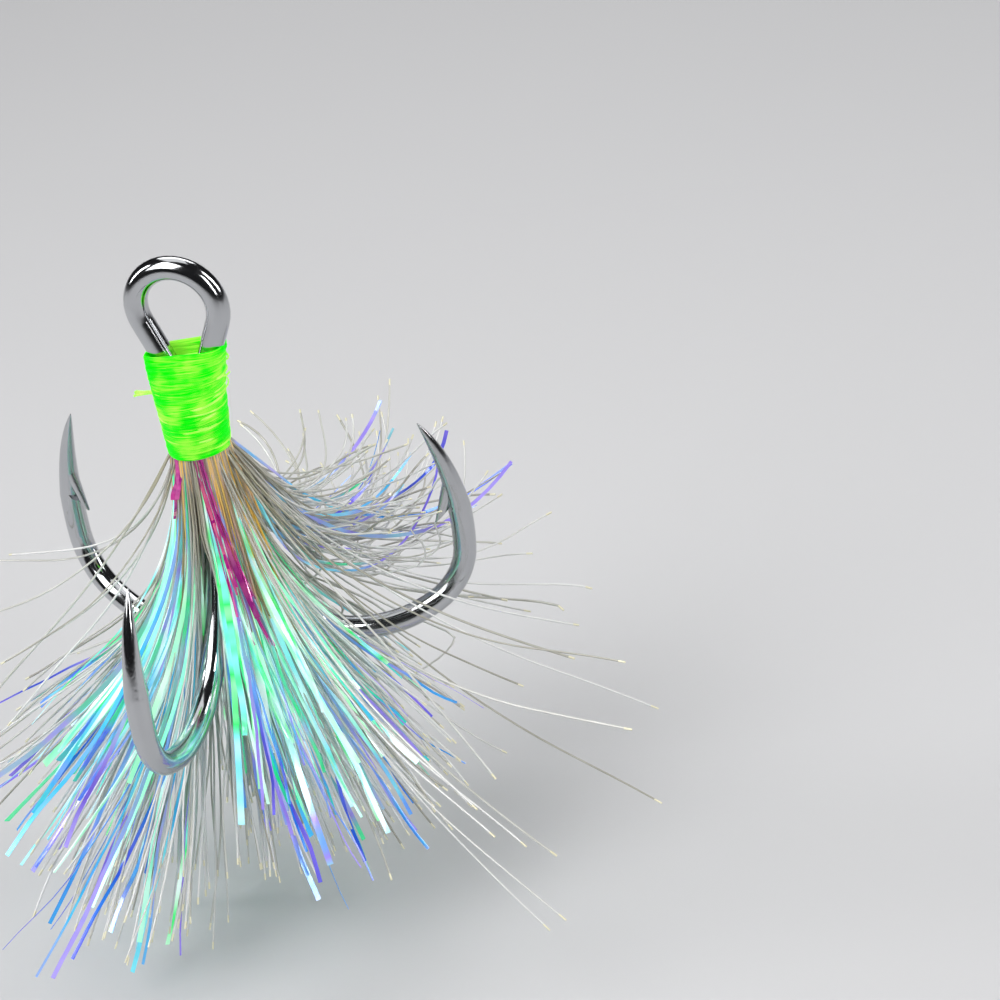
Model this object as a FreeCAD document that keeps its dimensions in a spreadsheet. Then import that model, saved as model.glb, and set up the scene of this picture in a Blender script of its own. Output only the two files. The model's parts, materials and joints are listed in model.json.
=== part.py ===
import FreeCAD, Part
import os
import math
import Sketcher

# A dressed treble hook, in millimetres. The origin is the centre of the line eye, which stands in
# the XZ plane; +Z runs up the shanks, so the bends and the skirt hang below. One wire makes the eye
# and two of the hooks, a second wire makes the third hook, and braze joins the three shanks.
# Lime thread ties a skirt of fibres round the shanks, in the three gaps between the hooks.

SIZES = {
    "wire_dia": 1.25,
    "wire_gap": 0.01,
    "eye_radius": 2.22,
    "eye_leg_angle": 22.0,
    "eye_leg_radius": 4.0,
    "shank_join_depth": 6.0,
    "single_top_depth": 4.6,
    "straight_depth": 12.65,
    "lower_radius": 8.78,
    "lower_angle": 49.8,
    "bend_radius": 6.39,
    "bend_angle": 67.4,
    "heel_radius": 3.55,
    "heel_angle": 56.9,
    "spear_radius": 14.08,
    "spear_angle": 10.3,
    "point_angle": 22.8,
    "point_waist_dia": 0.92,
    "point_neck_dia": 0.46,
    "point_tip_dia": 0.06,
    "barb_at": 0.15,
    "barb_root_ahead": 0.75,
    "barb_root_rise": 0.1,
    "barb_root_half_width": 0.36,
    "barb_root_half_depth": 0.4,
    "barb_tip_behind": 1.3,
    "barb_tip_rise": 1.5,
    "barb_foot_behind": 0.72,
    "barb_foot_rise": 0.55,
    "barb_end_half_width": 0.16,
    "nick_behind": 0.6,
    "nick_rise": 0.4,
    "nick_length": 1.5,
    "nick_end_rise": 1.3,
    "braze_top_depth": 8.1,
    "braze_length": 3.6,
    "braze_reach": 0.88,
    "wrap_top_depth": 2.2,
    "wrap_waist_depth": 5.0,
    "wrap_foot_depth": 7.85,
    "wrap_top_half_x": 2.36,
    "wrap_top_half_y": 1.2,
    "wrap_waist_radius": 1.86,
    "wrap_foot_radius": 1.68,
    "wrap_thick": 0.13,
    "layer_gap": 0.03,
    "base_thick": 0.05,
    "base_top_margin": 0.9,
    "base_foot_margin": 0.12,
    "tag_depth": 4.7,
    "tag_length": 1.0,
    "tag_half": 0.16,
    "butt_at": 1.09,
    "butt_radius": 0.24,
    "butt_top_depth": 5.2,
    "skirt_top_depth": 8.0,
}

# Each kind of fibre: start distance from the bundle axis, angle round from its gap's middle, lean
# from straight down at the root and at the tips, length, and half-sizes at root and tips.
FIBRES = {
    "amber_fibres": (1.22, 0.0, 3.0, 9.0, 14.0, 0.22, 0.8, 0.4),
    "magenta_strips": (1.74, 13.0, 8.0, 19.0, 17.0, 0.13, 0.4, 0.3),
    "pearl_tinsel": (1.74, -13.0, 7.0, 20.0, 27.0, 0.16, 0.5, 0.8),
    "blue_flash": (2.1, 0.0, 17.0, 36.0, 27.0, 0.12, 0.7, 0.8),
    "grey_hair_left": (1.74, -33.0, 9.0, 30.0, 27.0, 0.22, 1.4, 1.0),
    "grey_hair_right": (1.74, 33.0, 9.0, 30.0, 27.0, 0.22, 1.4, 1.0),
}
GAPS = {"front_left": 210.0, "front_right": -30.0, "back": 90.0}

# The few fibres that stand well out from their gap's tuft.
STRAYS = {
    "stray_hairs_front_left": (2.25, 188.0, 42.0, 78.0, 17.0, 0.1, 0.35, 0.35),
    "stray_hairs_front_right": (2.25, -18.0, 42.0, 56.0, 26.0, 0.1, 0.4, 0.4),
    "swept_hair_back": (2.25, 65.0, 42.0, 98.0, 22.0, 0.12, 0.9, 0.9),
}

doc = FreeCAD.newDocument("treble_hook")
sheet = doc.addObject("Spreadsheet::Sheet", "Sizes")


def fill_sheet():
    for row, (name, value) in enumerate(SIZES.items(), start=1):
        sheet.set("A%d" % row, name)
        sheet.set("B%d" % row, str(value))
        sheet.setAlias("B%d" % row, name)
    doc.recompute()


def size(text):
    """Turn {name} in an expression into the sheet's cell of that name."""
    return text.replace("{", "Sizes.").replace("}", "")


def add(kind, label, **bound):
    """Add one object; every keyword is a property and the expression that drives it."""
    obj = doc.addObject(kind, label)
    obj.Label = label
    for prop, text in bound.items():
        obj.setExpression(prop, size(text))
    return obj


def upright(azimuth, offset=None):
    """Placement of a flat sketch stood up in the radial plane at this azimuth."""
    turn = FreeCAD.Rotation(FreeCAD.Vector(0, 0, 1), azimuth)
    stand = FreeCAD.Rotation(FreeCAD.Vector(1, 0, 0), 90)
    return FreeCAD.Placement(offset or FreeCAD.Vector(), turn.multiply(stand))


def bundle_axis():
    """The axis the three shanks share, behind the eye's plane by a third of their triangle."""
    pitch = SIZES["wire_dia"] + SIZES["wire_gap"]
    return FreeCAD.Vector(0, -pitch / (2 * math.sqrt(3)), 0)


def shank_distance():
    return (SIZES["wire_dia"] + SIZES["wire_gap"]) / math.sqrt(3)


def rigid(sketch, kind, *where, text=None):
    """One sketch constraint, driven by an expression when text is given."""
    number = sketch.addConstraint(Sketcher.Constraint(kind, *where))
    if text:
        sketch.setExpression("Constraints[%d]" % number, size(text))


def arc_from(start, heading, radius, angle, turn):
    """Arc leaving start along heading (degrees from straight down), turning by angle."""
    first = math.radians(heading)
    last = math.radians(heading + turn * angle)
    centre = start + FreeCAD.Vector(turn * radius * math.cos(first), turn * radius * math.sin(first), 0)
    end = centre - FreeCAD.Vector(turn * radius * math.cos(last), turn * radius * math.sin(last), 0)
    angles = [math.atan2(p.y - centre.y, p.x - centre.x) for p in (start, end)]
    if turn < 0:
        angles.reverse()
    arc = Part.ArcOfCircle(Part.Circle(centre, FreeCAD.Vector(0, 0, 1), radius), *angles)
    return arc, end


def hook_line(label, azimuth, top):
    """Centre line of one hook in its radial plane: shank, bend, spear and point."""
    sketch = doc.addObject("Sketcher::SketchObject", label + "_line")
    sketch.Placement = upright(azimuth, bundle_axis())
    place = FreeCAD.Vector(shank_distance(), -SIZES["straight_depth"], 0)
    crown = FreeCAD.Vector(place.x, -SIZES[top], 0)
    sketch.addGeometry(Part.LineSegment(crown, place))
    rigid(sketch, "Vertical", 0)
    rigid(sketch, "DistanceX", -1, 1, 0, 1, place.x, text="({wire_dia} + {wire_gap}) / sqrt(3)")
    rigid(sketch, "DistanceY", 0, 1, -1, 1, -crown.y, text="{%s}" % top)
    rigid(sketch, "DistanceY", 0, 2, -1, 1, -place.y, text="{straight_depth}")
    heading = 0.0
    for part in ("lower", "bend", "heel", "spear", "point"):
        reach = part + "_radius" if part != "point" else "spear_radius"
        turn = SIZES[part + "_angle"]
        arc, place = arc_from(place, heading, SIZES[reach], turn, 1)
        heading += turn
        number = sketch.addGeometry(arc)
        rigid(sketch, "Tangent", number - 1, 2, number, 1)
        rigid(sketch, "Radius", number, SIZES[reach], text="{%s}" % reach)
        rigid(sketch, "Angle", number, math.radians(turn), text="{%s_angle}" % part)
    return sketch


def ring_on(sketch, edge, along, label, radius):
    """A round section standing square to one edge of a line."""
    ring = add("Part::Circle", label, Radius=radius)
    ring.AttachmentSupport = [(sketch, "Edge%d" % edge)]
    ring.MapMode = "NormalToEdge"
    ring.MapPathParameter = along
    return ring


def swept(label, sections, sketch, edges):
    body = doc.addObject("Part::Sweep", label)
    body.Sections = sections
    body.Spine = (sketch, ["Edge%d" % edge for edge in edges])
    body.Solid = True
    body.Frenet = False
    return body


def beside_point(obj, line):
    """Set an object in the frame of the point: x along the spear, y towards the shank."""
    obj.AttachmentSupport = [(line, "Edge6")]
    obj.MapMode = "FrenetTN"
    obj.setExpression("MapPathParameter", size("{barb_at}"))


def nick(label, line):
    """The cut that the barb was lifted from, running out gently where the wire bends away."""
    sketch = doc.addObject("Sketcher::SketchObject", label + "_nick_outline")
    beside_point(sketch, line)
    behind, rise, length = SIZES["nick_behind"], SIZES["nick_rise"], SIZES["nick_length"]
    top = SIZES["nick_end_rise"]
    corners = [
        (-behind, rise, "{nick_behind}", "{nick_rise}"),
        (-behind, top, "{nick_behind}", "{nick_end_rise}"),
        (-behind - length, top, "{nick_behind} + {nick_length}", "{nick_end_rise}"),
    ]
    points = [FreeCAD.Vector(x, y, 0) for x, y, _, _ in corners]
    for start, end in zip(points, points[1:] + points[:1]):
        sketch.addGeometry(Part.LineSegment(start, end))
    for number, (x, y, back, rise_by) in enumerate(corners):
        rigid(sketch, "Coincident", number - 1 if number else len(corners) - 1, 2, number, 1)
        rigid(sketch, "DistanceX", number, 1, -1, 1, -x, text=back)
        rigid(sketch, "DistanceY", -1, 1, number, 1, y, text=rise_by)
    body = add("Part::Extrusion", label + "_nick", LengthFwd="{wire_dia} * 1.2")
    body.Base = sketch
    body.DirMode = "Normal"
    body.Symmetric = True
    body.Solid = True
    return body


def barb(label, line):
    """The barb lifted off the spear: an oval root, and a slanted end face whose top is the free tip."""
    root = FreeCAD.Vector(SIZES["barb_root_ahead"], SIZES["barb_root_rise"], 0)
    tip = FreeCAD.Vector(-SIZES["barb_tip_behind"], SIZES["barb_tip_rise"], 0)
    foot = FreeCAD.Vector(-SIZES["barb_foot_behind"], SIZES["barb_foot_rise"], 0)
    sideways = FreeCAD.Vector(0, 0, -1)
    end = (tip + foot) * 0.5
    face = "sqrt(({barb_tip_behind} - {barb_foot_behind})^2 + ({barb_tip_rise} - {barb_foot_rise})^2) / 2"
    rims = []
    for name, place, outward, half_depth in (
            ("root", root, (end - root).cross(sideways), "{barb_root_half_depth}"),
            ("end", end, tip - foot, face)):
        rim = add("Part::Ellipse", "%s_barb_%s" % (label, name), MajorRadius=half_depth,
                  MinorRadius="{barb_%s_half_width}" % name)
        beside_point(rim, line)
        turn = FreeCAD.Rotation(outward, FreeCAD.Vector(), sideways.cross(outward), "ZXY")
        rim.AttachmentOffset = FreeCAD.Placement(place, turn)
        rims.append(rim)
    sliver = doc.addObject("Part::Loft", label + "_barb")
    sliver.Sections = rims
    sliver.Solid = True
    sliver.Ruled = True
    return sliver


def hook(label, azimuth, top):
    """One complete hook below its straight shank, as one solid."""
    line = hook_line(label, azimuth, top)
    wire = swept(label + "_wire", [ring_on(line, 1, 0, label + "_section", "{wire_dia} / 2")],
                 line, [1, 2, 3, 4, 5])
    tapers = [ring_on(line, 6, along, "%s_taper_%d" % (label, along * 100), radius)
              for along, radius in ((0, "{wire_dia} / 2"), (0.4, "{point_waist_dia} / 2"),
                                    (0.8, "{point_neck_dia} / 2"), (1, "{point_tip_dia} / 2"))]
    point = swept(label + "_point", tapers, line, [6])
    nicked = doc.addObject("Part::Cut", label + "_nicked")
    nicked.Base = joined(label + "_blank", [wire, point])
    nicked.Tool = nick(label, line)
    return joined(label, [nicked, barb(label, line)])


def joined(label, shapes):
    body = doc.addObject("Part::MultiFuse", label)
    body.Shapes = shapes
    body.Label = label
    return body


def eye_line():
    """Centre line of the eye: up one leg, round the ring and down the other leg."""
    sketch = doc.addObject("Sketcher::SketchObject", "eye_line")
    sketch.Placement = upright(0)
    half = (SIZES["wire_dia"] + SIZES["wire_gap"]) / 2
    lean = math.radians(SIZES["eye_leg_angle"])
    ring, curve = SIZES["eye_radius"], SIZES["eye_leg_radius"]
    run = (ring * math.cos(lean) - half - curve * (1 - math.cos(lean))) / math.sin(lean)
    touch = FreeCAD.Vector(ring * math.cos(lean), -ring * math.sin(lean), 0)
    knee = touch - FreeCAD.Vector(run * math.sin(lean), run * math.cos(lean), 0)
    hip = FreeCAD.Vector(half, knee.y - curve * math.sin(lean), 0)
    foot = FreeCAD.Vector(half, -SIZES["shank_join_depth"], 0)
    for side in (1, -1):
        def at(point):
            return FreeCAD.Vector(side * point.x, point.y, 0)
        bow = Part.ArcOfCircle(Part.Circle(at(hip) + FreeCAD.Vector(side * curve, 0, 0),
                                           FreeCAD.Vector(0, 0, 1), curve),
                               *(sorted((math.pi, math.pi - lean)) if side > 0 else (0, lean)))
        first = 0 if side > 0 else 3
        sketch.addGeometry([Part.LineSegment(at(foot), at(hip)), bow,
                            Part.LineSegment(at(knee), at(touch))])
        inner, outer = (2, 1) if side > 0 else (1, 2)
        rigid(sketch, "Vertical", first)
        rigid(sketch, "DistanceX", *((-1, 1, first, 1) if side > 0 else (first, 1, -1, 1)), half,
              text="({wire_dia} + {wire_gap}) / 2")
        rigid(sketch, "DistanceY", first, 1, -1, 1, -foot.y, text="{shank_join_depth}")
        rigid(sketch, "Tangent", first, 2, first + 1, inner)
        rigid(sketch, "Radius", first + 1, curve, text="{eye_leg_radius}")
        rigid(sketch, "Angle", first + 1, lean, text="{eye_leg_angle}")
        rigid(sketch, "Tangent", first + 1, outer, first + 2, 1)
    round_eye = Part.ArcOfCircle(Part.Circle(FreeCAD.Vector(), FreeCAD.Vector(0, 0, 1), ring),
                                 -lean, math.pi + lean)
    number = sketch.addGeometry(round_eye)
    rigid(sketch, "Coincident", number, 3, -1, 1)
    rigid(sketch, "Radius", number, ring, text="{eye_radius}")
    rigid(sketch, "Tangent", number, 1, 2, 2)
    rigid(sketch, "Tangent", number, 2, 5, 2)
    return sketch


def twin_hook():
    """The eye and the two hooks that its wire runs on into."""
    line = eye_line()
    ring = add("Part::Circle", "eye_section", Radius="{wire_dia} / 2")
    ring.AttachmentSupport = [(line, "Edge1")]
    ring.MapMode = "NormalToEdge"
    eye = swept("eye", [ring], line, [1, 2, 3, 7, 6, 5, 4])
    return joined("twin_hook_wire", [eye, hook("right_hook", 30, "shank_join_depth"),
                                     hook("left_hook", 150, "shank_join_depth")])


def third_hook():
    """The single hook, its shank's cut top rounded over."""
    wire = hook("single_hook_blank", -90, "single_top_depth")
    crown = add("Part::Sphere", "single_hook_crown", Radius="{wire_dia} / 2")
    crown.Placement.Base = bundle_axis() + FreeCAD.Vector(0, -shank_distance(), -SIZES["single_top_depth"])
    return joined("single_hook_wire", [wire, crown])


def column(label, radius, height, depth, at=(0, 0)):
    """An upright cylinder whose top is this deep below the eye's centre."""
    post = add("Part::Cylinder", label, Radius=radius, Height=height)
    post.Placement.Base = bundle_axis() + FreeCAD.Vector(at[0], at[1], 0)
    post.setExpression("Placement.Base.z", size("-(%s) - (%s)" % (depth, height)))
    return post


def around(distance, azimuth):
    return (distance * math.cos(math.radians(azimuth)), distance * math.sin(math.radians(azimuth)))


def braze():
    """Braze run into the three grooves between the shanks, below the thread."""
    core = column("braze_core", "{braze_reach}", "{braze_length}", "{braze_top_depth}")
    shanks = [column("braze_shank_%d" % azimuth, "{wire_dia} / 2 + {wire_gap}", "{braze_length} + 2",
                     "{braze_top_depth} - 1", around(shank_distance(), azimuth))
              for azimuth in (30, 150, -90)]
    seam = doc.addObject("Part::Cut", "shank_braze")
    seam.Base, seam.Tool = core, joined("braze_shanks", shanks)
    seam.Label = "shank_braze"
    return seam


def oval(label, half_x, half_y, depth, share="1"):
    """A level oval whose middle lies the given share of the way from the eye's plane to the bundle's axis."""
    ring = add("Part::Ellipse", label, MajorRadius=half_x, MinorRadius=half_y)
    ring.setExpression("Placement.Base.y",
                       size("-({wire_dia} + {wire_gap}) / (2 * sqrt(3)) * (%s)" % share))
    ring.setExpression("Placement.Base.z", size("-(%s)" % depth))
    return ring


def sleeve_skin(label, inset, top_margin, foot_margin):
    """The wrap's outside, drawn in by inset and shortened at each end."""
    flare = "(%s) / ({wrap_waist_depth} - {wrap_top_depth})" % top_margin
    taper = "(%s) / ({wrap_foot_depth} - {wrap_waist_depth})" % foot_margin
    rim = "{wrap_top_half_%s} - ({wrap_top_half_%s} - {wrap_waist_radius}) * " + flare + " - (%s)" % inset
    waist = "{wrap_waist_radius} - (%s)" % inset
    foot = "{wrap_foot_radius} + ({wrap_waist_radius} - {wrap_foot_radius}) * " + taper + " - (%s)" % inset
    rims = [
        oval(label + "_top", rim % ("x", "x"), rim % ("y", "y"), "{wrap_top_depth} + (%s)" % top_margin,
             flare),
        oval(label + "_waist", waist + " + 0.001", waist, "{wrap_waist_depth}"),
        oval(label + "_foot", foot + " + 0.001", foot, "{wrap_foot_depth} - (%s)" % foot_margin),
    ]
    skin = doc.addObject("Part::Loft", label)
    skin.Sections = rims
    skin.Solid = True
    skin.Ruled = True
    return skin


def sleeve(label, outer, inner, *margins):
    body = doc.addObject("Part::Cut", label)
    body.Base = sleeve_skin(label + "_outside", outer, *margins)
    body.Tool = sleeve_skin(label + "_bore", inner, *margins)
    body.Label = label
    return body


def thread():
    """The lime over-wrap, the base layer it is wound on, and its loose tag end."""
    over = sleeve("thread_wrap", "0", "{wrap_thick}", "0", "0")
    base = sleeve("thread_base_layer", "{wrap_thick} + {layer_gap}",
                  "{wrap_thick} + {layer_gap} + {base_thick}",
                  "{base_top_margin}", "{base_foot_margin}")
    tag = add("Part::Cone", "thread_tag_end", Radius1="{tag_half}", Radius2="{tag_half} / 3",
              Height="{tag_length}")
    tag.Placement.Rotation = FreeCAD.Rotation(FreeCAD.Vector(0, 1, 0), -78)
    tag.Placement.Base = bundle_axis() + FreeCAD.Vector(-SIZES["wrap_waist_radius"] - 0.22, -0.2,
                                                         -SIZES["tag_depth"])
    return [over, base, tag]


def butts():
    """The fibres' tied-in ends, lying in the grooves between the shanks under the thread."""
    posts = [column("butts_%s" % gap, "{butt_radius}", "{wrap_foot_depth} - {butt_top_depth}",
                    "{butt_top_depth}", around(SIZES["butt_at"], azimuth))
             for gap, azimuth in GAPS.items()]
    bundle = doc.addObject("Part::Compound", "fibre_butts")
    bundle.Links = posts
    bundle.Label = "fibre_butts"
    return bundle


def tuft(label, azimuth, start, lean, flare, length, root, wide, deep):
    """A bundle of fibres that leaves the wrap and leans out as it goes down."""
    line = doc.addObject("Sketcher::SketchObject", label + "_line")
    line.Placement = upright(azimuth, bundle_axis())
    radius = length / math.radians(flare - lean)
    top = FreeCAD.Vector(start, -SIZES["skirt_top_depth"], 0)
    arc, _ = arc_from(top, lean, radius, flare - lean, 1)
    line.addGeometry(arc)
    rigid(line, "Radius", 0, radius)
    rigid(line, "Angle", 0, math.radians(flare - lean))
    rigid(line, "DistanceX", -1, 1, 0, 1, start)
    rigid(line, "DistanceY", 0, 1, -1, 1, SIZES["skirt_top_depth"], text="{skirt_top_depth}")
    rims = []
    for along, half_a, half_b in ((0, root * 1.01, root), (1, max(wide, deep) + 0.001, min(wide, deep))):
        rim = add("Part::Ellipse", "%s_rim_%d" % (label, along))
        rim.MajorRadius = half_a
        rim.MinorRadius = half_b
        rim.AttachmentSupport = [(line, "Edge1")]
        rim.MapMode = "NormalToEdge"
        rim.MapPathParameter = along
        rims.append(rim)
    return swept(label, rims, line, [1])


def skirt():
    made = []
    for gap, middle in GAPS.items():
        for kind, (start, round_by, *rest) in FIBRES.items():
            made.append(tuft("%s_%s" % (kind, gap), middle + round_by, start, *rest))
    for label, (start, azimuth, *rest) in STRAYS.items():
        made.append(tuft(label, azimuth, start, *rest))
    return made


def check(nodes):
    doc.recompute()
    for obj in doc.Objects:
        if "Invalid" in obj.State or "Error" in obj.State:
            raise RuntimeError("%s did not build: %s" % (obj.Label, obj.State))
    for node in nodes:
        if node.Shape.isNull() or not node.Shape.isValid() or not node.Shape.Solids:
            raise RuntimeError("%s is not a sound solid" % node.Label)


def main():
    fill_sheet()
    nodes = [twin_hook(), third_hook(), braze()] + thread() + [butts()] + skirt()
    check(nodes)
    os.makedirs("parts", exist_ok=True)
    for node in nodes:
        node.Shape.exportStep(os.path.join("parts", node.Label + ".step"))


main()
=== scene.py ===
import json
import math

import bpy
from mathutils import Matrix, Vector


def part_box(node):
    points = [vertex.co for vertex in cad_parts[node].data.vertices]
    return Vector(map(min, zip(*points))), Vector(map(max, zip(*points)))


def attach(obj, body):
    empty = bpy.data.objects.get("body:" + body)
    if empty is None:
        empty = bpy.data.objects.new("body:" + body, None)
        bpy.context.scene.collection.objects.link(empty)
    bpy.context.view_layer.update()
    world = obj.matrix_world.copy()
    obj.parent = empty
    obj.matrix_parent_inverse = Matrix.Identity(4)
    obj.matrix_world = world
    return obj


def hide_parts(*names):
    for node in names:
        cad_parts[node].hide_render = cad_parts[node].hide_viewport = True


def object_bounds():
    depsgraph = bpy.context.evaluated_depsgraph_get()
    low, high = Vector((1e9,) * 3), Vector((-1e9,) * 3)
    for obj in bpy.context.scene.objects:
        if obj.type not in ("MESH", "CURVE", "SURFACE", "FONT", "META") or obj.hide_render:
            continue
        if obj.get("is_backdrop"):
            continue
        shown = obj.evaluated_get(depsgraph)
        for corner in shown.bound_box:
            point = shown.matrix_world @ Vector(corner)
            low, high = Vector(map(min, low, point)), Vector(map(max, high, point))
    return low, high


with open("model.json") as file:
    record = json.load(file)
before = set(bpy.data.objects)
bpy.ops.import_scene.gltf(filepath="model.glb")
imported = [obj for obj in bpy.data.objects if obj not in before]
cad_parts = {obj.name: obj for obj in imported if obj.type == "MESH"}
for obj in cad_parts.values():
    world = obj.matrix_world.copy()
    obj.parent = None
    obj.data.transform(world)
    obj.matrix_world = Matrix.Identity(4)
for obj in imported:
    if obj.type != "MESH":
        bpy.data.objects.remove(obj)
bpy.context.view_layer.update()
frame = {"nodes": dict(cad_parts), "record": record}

bl_info = {
    "name": "Dressed treble hook",
    "version": (1, 0, 0),
    "blender": (4, 5, 0),
    "location": "View3D > Sidebar > Treble hook",
    "description": "Plated wire, thread wrap and fibre skirt of a dressed treble hook",
    "category": "Object",
}

MM = 0.001

# The three gaps between the hooks, which the skirt hangs in: each gap's direction round the shanks,
# in degrees.
GAPS = {"front_left": 210.0, "front_right": -30.0, "back": 90.0}
HOOK_PLANE_FROM_GAP = math.radians(60)

# The three shanks touch each other, so the axis between them stands towards the single hook by a
# third of the height of their triangle.
WIRE_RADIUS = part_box("single_hook_wire")[1].x
SHANK_AXIS = Vector((0, -WIRE_RADIUS / math.sqrt(3), 0))

# The wrap's rim and foot, as depths below the middle of the eye.
WRAP_RIM = -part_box("thread_wrap")[1].z
WRAP_FOOT = -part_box("thread_wrap")[0].z


# ---------------------------------------------------------------------------
# Node trees
# ---------------------------------------------------------------------------

class Tree:
    """Small helper that lays out one node tree and hands back sockets."""

    def __init__(self, tree):
        self.tree = tree

    def node(self, kind, **settings):
        made = self.tree.nodes.new(kind)
        for name, value in settings.items():
            setattr(made, name, value)
        return made

    def feed(self, socket, value):
        """Link a socket, or set a plain value on it."""
        if isinstance(value, bpy.types.NodeSocket):
            self.tree.links.new(value, socket)
        elif value is not None:
            socket.default_value = value

    def math(self, operation, a, b=None, c=None):
        made = self.node("ShaderNodeMath", operation=operation)
        for socket, value in zip(made.inputs, (a, b, c)):
            self.feed(socket, value)
        return made.outputs[0]

    def add(self, a, b):
        return self.math("ADD", a, b)

    def sub(self, a, b):
        return self.math("SUBTRACT", a, b)

    def mul(self, a, b):
        return self.math("MULTIPLY", a, b)

    def div(self, a, b):
        return self.math("DIVIDE", a, b)

    def sin(self, a):
        return self.math("SINE", a)

    def cos(self, a):
        return self.math("COSINE", a)

    def between(self, value, low=0.0, high=1.0):
        """The value, kept from passing low or high."""
        return self.math("MINIMUM", self.math("MAXIMUM", value, low), high)

    def xyz(self, x, y, z):
        made = self.node("ShaderNodeCombineXYZ")
        for socket, value in zip(made.inputs, (x, y, z)):
            self.feed(socket, value)
        return made.outputs[0]

    def vector(self, operation, a, b=None, scale=None):
        made = self.node("ShaderNodeVectorMath", operation=operation)
        self.feed(made.inputs[0], a)
        if b is not None:
            self.feed(made.inputs[1], b)
        if scale is not None:
            self.feed(made.inputs["Scale"], scale)
        return made.outputs[0]


class Shape(Tree):
    """A geometry tree with named inputs."""

    def __init__(self, name):
        super().__init__(bpy.data.node_groups.new(name, "GeometryNodeTree"))
        self.tree.interface.new_socket("Geometry", in_out="OUTPUT", socket_type="NodeSocketGeometry")
        self.entry = self.node("NodeGroupInput")

    def given(self, name, kind="NodeSocketFloat"):
        """A named input of the tree."""
        self.tree.interface.new_socket(name, in_out="INPUT", socket_type=kind)
        return self.entry.outputs[name]

    def random(self, low, high, strand, seed, salt):
        """A number for each strand, from low to high, drawn apart from those of other salts."""
        made = self.node("FunctionNodeRandomValue", data_type="FLOAT")
        self.feed(made.inputs[2], low)
        self.feed(made.inputs[3], high)
        self.feed(made.inputs["ID"], strand)
        self.feed(made.inputs["Seed"], self.add(seed, float(salt)))
        return made.outputs[1]

    def around(self, middle, spread, strand, seed, salt):
        """A number for each strand, within spread of middle."""
        return self.random(self.sub(middle, spread), self.add(middle, spread), strand, seed, salt)

    def keep(self, geometry, name, value):
        """Store a number on every point, for the materials to read."""
        made = self.node("GeometryNodeStoreNamedAttribute", data_type="FLOAT", domain="POINT")
        self.feed(made.inputs["Geometry"], geometry)
        made.inputs["Name"].default_value = name
        self.feed(made.inputs["Value"], value)
        return made.outputs[0]

    def finish(self, geometry, material):
        real = self.node("GeometryNodeRealizeInstances")
        self.feed(real.inputs[0], geometry)
        painted = self.node("GeometryNodeSetMaterial")
        self.feed(painted.inputs["Geometry"], real.outputs[0])
        self.feed(painted.inputs["Material"], material)
        exit_node = self.node("NodeGroupOutput")
        self.feed(exit_node.inputs[0], painted.outputs[0])
        return self.tree


def lines_of_points(shape, count, steps):
    """Straight lines of so many points, ready to be bent, with each line's number and the place along it."""
    line = shape.node("GeometryNodeCurvePrimitiveLine")
    cut = shape.node("GeometryNodeResampleCurve")
    shape.feed(cut.inputs["Curve"], line.outputs[0])
    shape.feed(cut.inputs["Count"], steps)
    dots = shape.node("GeometryNodePoints")
    shape.feed(dots.inputs["Count"], count)
    copies = shape.node("GeometryNodeInstanceOnPoints")
    shape.feed(copies.inputs["Points"], dots.outputs[0])
    shape.feed(copies.inputs["Instance"], cut.outputs[0])
    real = shape.node("GeometryNodeRealizeInstances")
    shape.feed(real.inputs[0], copies.outputs[0])
    number = shape.node("GeometryNodeFieldOnDomain", domain="CURVE", data_type="INT")
    index = shape.node("GeometryNodeInputIndex")
    shape.feed(number.inputs[0], index.outputs[0])
    place = shape.node("GeometryNodeSplineParameter")
    return real.outputs[0], number.outputs[0], place.outputs["Factor"]


def placed(shape, curves, position):
    """Move every point of the curves to its position."""
    made = shape.node("GeometryNodeSetPosition")
    shape.feed(made.inputs["Geometry"], curves)
    shape.feed(made.inputs["Position"], position)
    return made.outputs[0]


# The fewest sides that look round at a hair's or a floss's thickness.
HAIR_SIDES = 6
FLOSS_SIDES = 10
# Added to every fibre's bend, in radians, so that a straight one still has an arc's radius.
LEAST_BEND = 0.0013
# How far apart two strands read the noise that bends them.
WANDER_STEP = 3.7


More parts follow.
